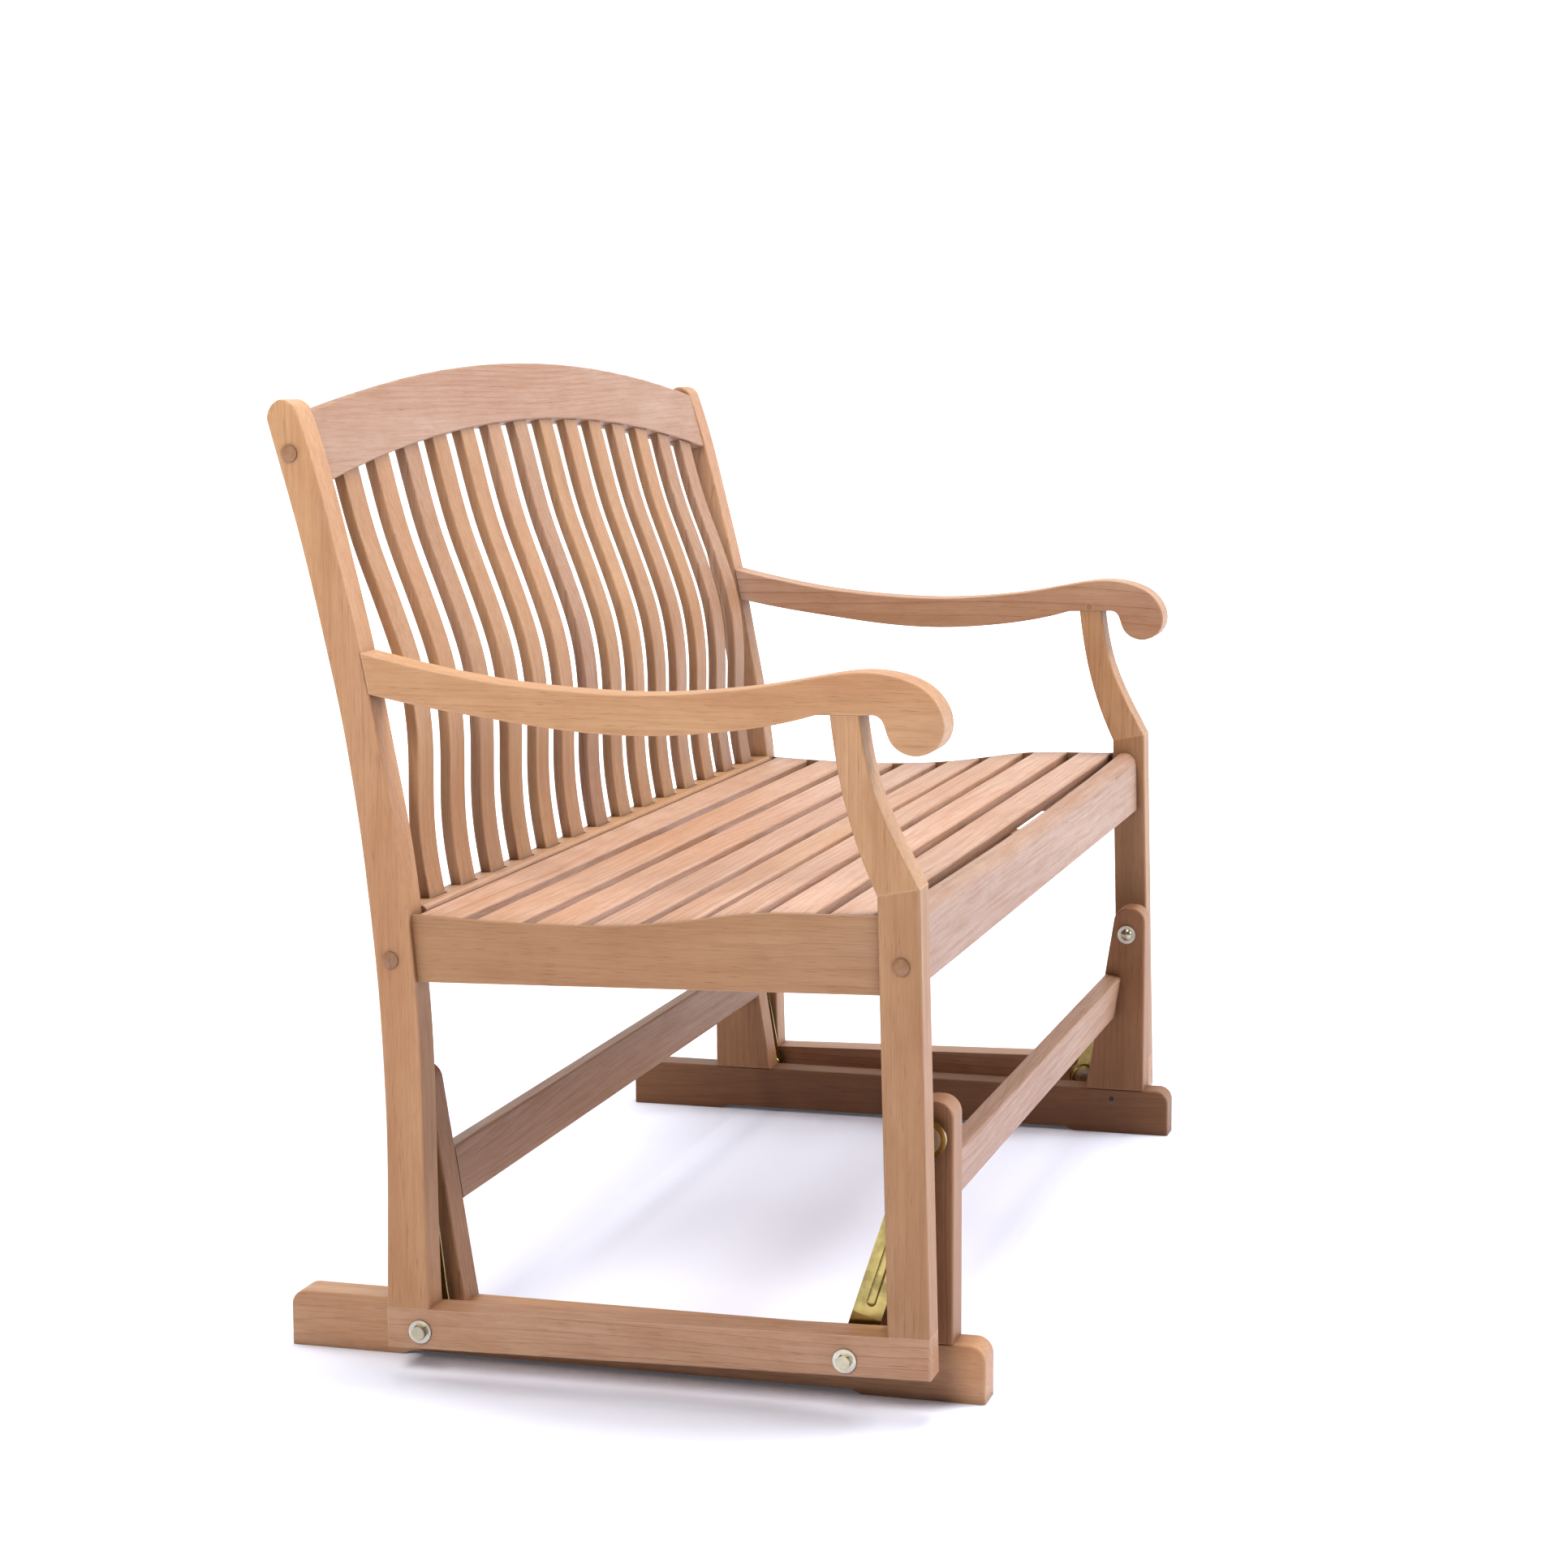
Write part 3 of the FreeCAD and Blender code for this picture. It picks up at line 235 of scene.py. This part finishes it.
# tone, rosiness and depth of the boards; each varies a little round these by its name
# painted shade: runner_right, the base posts, rear_stretcher and back_slat are set darker
# for the shade they sit in
# painted sheen: top_rail, front_apron, front_stretcher and seat_slat are set rosier, and
# seat_slat paler, for the sheen on faces turned to the front and top
BOARDS = {"top_rail": (-0.12, 1.1, 0.0), "front_apron": (-0.14, 0.95, 0.0),
          "front_leg": (-0.10, -0.1, 0.10), "rear_leg": (0.15, 0.2, 0.0),
          "side_apron": (-0.10, 0.35, 0.05), "lower_rail": (0.11, 0.6, 0.0),
          "armrest": (0.05, 0.4, 0.0), "arm_support": (0.02, 0.05, 0.0),
          "rear_stretcher": (-0.16, 0.5, 0.25), "front_stretcher": (0.0, 0.7, 0.05),
          "runner_left": (0.20, 0.3, 0.0), "runner_right": (-0.30, -0.2, 0.92),
          "front_post_left": (-0.12, 0.0, 0.55), "front_post_right": (-0.16, 0.0, 0.75),
          "rear_post_left": (-0.12, 0.0, 0.5), "rear_post_right": (0.0, 0.0, 0.5),
          "back_slat": (-0.07, 0.2, 0.14), "seat_slat": (0.13, 0.9, 0.0)}


def finish_for(node):
    """The material of one CAD node, by its name."""
    if node.startswith("hanger_"):
        return ZINC
    if node.startswith("bearings_"):
        return STEEL
    if node.endswith("_washers"):
        return WASHER
    if node.endswith("_bolts"):
        return BOLT
    if node == "runner_plugs":
        return DARK
    if node == "wood_plugs":
        return teak(node, 0, -0.20, 0.4, 0.30)
    s = seed_of(node)
    axis = 0 if node.startswith(LENGTHWAYS) else 1 if node.startswith(FORE_AND_AFT) else 2
    tone, rose, deep = 0.16 * (part_of(s, 9) - 0.5), 0.7 * (part_of(s, 10) - 0.5), 0.0
    for start, given in BOARDS.items():
        if node.startswith(start):
            tone, rose, deep = given[0] + 0.8 * tone, given[1] + 0.7 * rose, given[2]
    return teak(node, axis, tone, rose, deep)


for name, obj in NODES.items():
    mat = finish_for(name)
    if not obj.data.materials:
        obj.data.materials.append(mat)
    for i in range(len(obj.material_slots)):
        obj.material_slots[i].material = mat


# ---------------------------------------------------------------- floor, light, camera
def plane(name, size, mat):
    me = bpy.data.meshes.new(name)
    s = size / 2
    me.from_pydata([(-s, -s, 0), (s, -s, 0), (s, s, 0), (-s, s, 0)], [], [(0, 1, 2, 3)])
    ob = bpy.data.objects.new(name, me)
    bpy.context.scene.collection.objects.link(ob)
    me.materials.append(mat)
    return ob


n = Nodes("floor_paint_and_painted_glow")
tc = n.new("ShaderNodeTexCoord")
far = n.new("ShaderNodeVectorMath", operation="LENGTH")
n.link(tc.outputs["Object"], far.inputs[0])
fade = n.remap(far.outputs["Value"], 1.2, 5.0, 0.0, 1.0)
cloud = n.noise(n.coords((1, 1, 1)), 0.7, 2.0)
# painted shade: near the bench the floor is darker and bluer than far off
near_floor_painted_shade = n.ramp(cloud, [(0.3, (0.77, 0.80, 0.92)), (0.7, (0.80, 0.83, 0.95))])
# painted light: the floor glows, faintly near the bench, which lifts the shade under it,
# and fully far off, where it fades into the white of the room
n.link(n.mix(fade, near_floor_painted_shade, (0.93, 0.94, 0.96)), n.bsdf.inputs["Base Color"])
n.bsdf.inputs["Roughness"].default_value = 0.75
n.link(n.mix(fade, (0.84, 0.89, 1.0), (1.0, 1.0, 1.0)), n.bsdf.inputs["Emission Color"])
n.link(n.remap(fade, 0.0, 1.0, 0.06, 1.2), n.bsdf.inputs["Emission Strength"])
floor = plane("floor", 40.0, n.mat)
floor.location.z = -0.0005

# how bright the room is towards -X and towards +X, and where the change runs
WORLD = (-0.05, 0.80, 0.10, 1.10)

world = bpy.data.worlds.new("studio") if not bpy.data.worlds else bpy.data.worlds[0]
bpy.context.scene.world = world
world.use_nodes = True
wt = world.node_tree
bg = wt.nodes["Background"]
bg.inputs["Color"].default_value = (0.98, 0.985, 1.0, 1.0)
# a white wall behind the bench and a dimmer room on the other sides
wc = wt.nodes.new("ShaderNodeTexCoord")
wx = wt.nodes.new("ShaderNodeSeparateXYZ")
wt.links.new(wc.outputs["Generated"], wx.inputs[0])
wr = wt.nodes.new("ShaderNodeMapRange")
wr.interpolation_type = "SMOOTHSTEP"
wt.links.new(wx.outputs["X"], wr.inputs["Value"])
for k, v in zip(("From Min", "From Max", "To Min", "To Max"), WORLD):
    wr.inputs[k].default_value = v
wt.links.new(wr.outputs["Result"], bg.inputs["Strength"])
# seen directly, the room is plain white all round
white = wt.nodes.new("ShaderNodeBackground")
white.inputs["Color"].default_value = (1.0, 1.0, 1.0, 1.0)
white.inputs["Strength"].default_value = 1.1
path = wt.nodes.new("ShaderNodeLightPath")
pick = wt.nodes.new("ShaderNodeMixShader")
wt.links.new(path.outputs["Is Camera Ray"], pick.inputs[0])
wt.links.new(bg.outputs[0], pick.inputs[1])
wt.links.new(white.outputs[0], pick.inputs[2])
wt.links.new(pick.outputs[0], wt.nodes["World Output"].inputs["Surface"])


# soft lights: place, what it points at, its two sides, watts, colour
LIGHTS = (
    ("front", (1.4, -4.2, 2.6), (0, 0, 0.45), (2.2, 1.6), 150, (0.98, 0.975, 1.0)),
    ("side", (-3.9, 0.3, 3.1), (0, 0, 0.5), (1.2, 1.4), 112, (1.0, 0.965, 0.91)),
    ("top", (0.2, -0.2, 4.2), (0, 0, 0.3), (2.0, 2.0), 130, (1.0, 0.99, 0.98)),
    ("back", (0.6, 4.0, 2.4), (0, 0, 0.5), (2.4, 1.8), 55, (1.0, 0.98, 0.96)),
)
for name, loc, target, size, power, colour in LIGHTS:
    d = bpy.data.lights.new(name, "AREA")
    d.shape = "RECTANGLE"
    d.size, d.size_y = size
    d.energy = power
    d.color = colour
    ob = bpy.data.objects.new(name, d)
    bpy.context.scene.collection.objects.link(ob)
    ob.location = loc
    ob.rotation_euler = (Vector(target) - Vector(loc)).to_track_quat("-Z", "Y").to_euler()

CAMERA_AT = Vector((-3.2101, -0.92895, 0.9412))
YAW, PITCH, ROLL = (math.radians(v) for v in (16.12, -7.734, -0.268))

cam_data = bpy.data.cameras.new("camera")
cam_data.lens = 71.81
cam_data.sensor_width = 36.0
cam = bpy.data.objects.new("camera", cam_data)
bpy.context.scene.collection.objects.link(cam)
fwd = Vector((math.cos(PITCH) * math.cos(YAW), math.cos(PITCH) * math.sin(YAW),
              math.sin(PITCH)))
right = Vector((math.sin(YAW), -math.cos(YAW), 0.0))
up = right.cross(fwd)
right, up = (right * math.cos(ROLL) + up * math.sin(ROLL),
             -right * math.sin(ROLL) + up * math.cos(ROLL))
rot = Matrix((right, up, -fwd)).transposed().to_4x4()
rot.translation = CAMERA_AT
cam.matrix_world = rot
bpy.context.scene.camera = cam
bpy.context.scene.view_settings.view_transform = "Standard"
bpy.context.scene.view_settings.look = "Medium High Contrast"
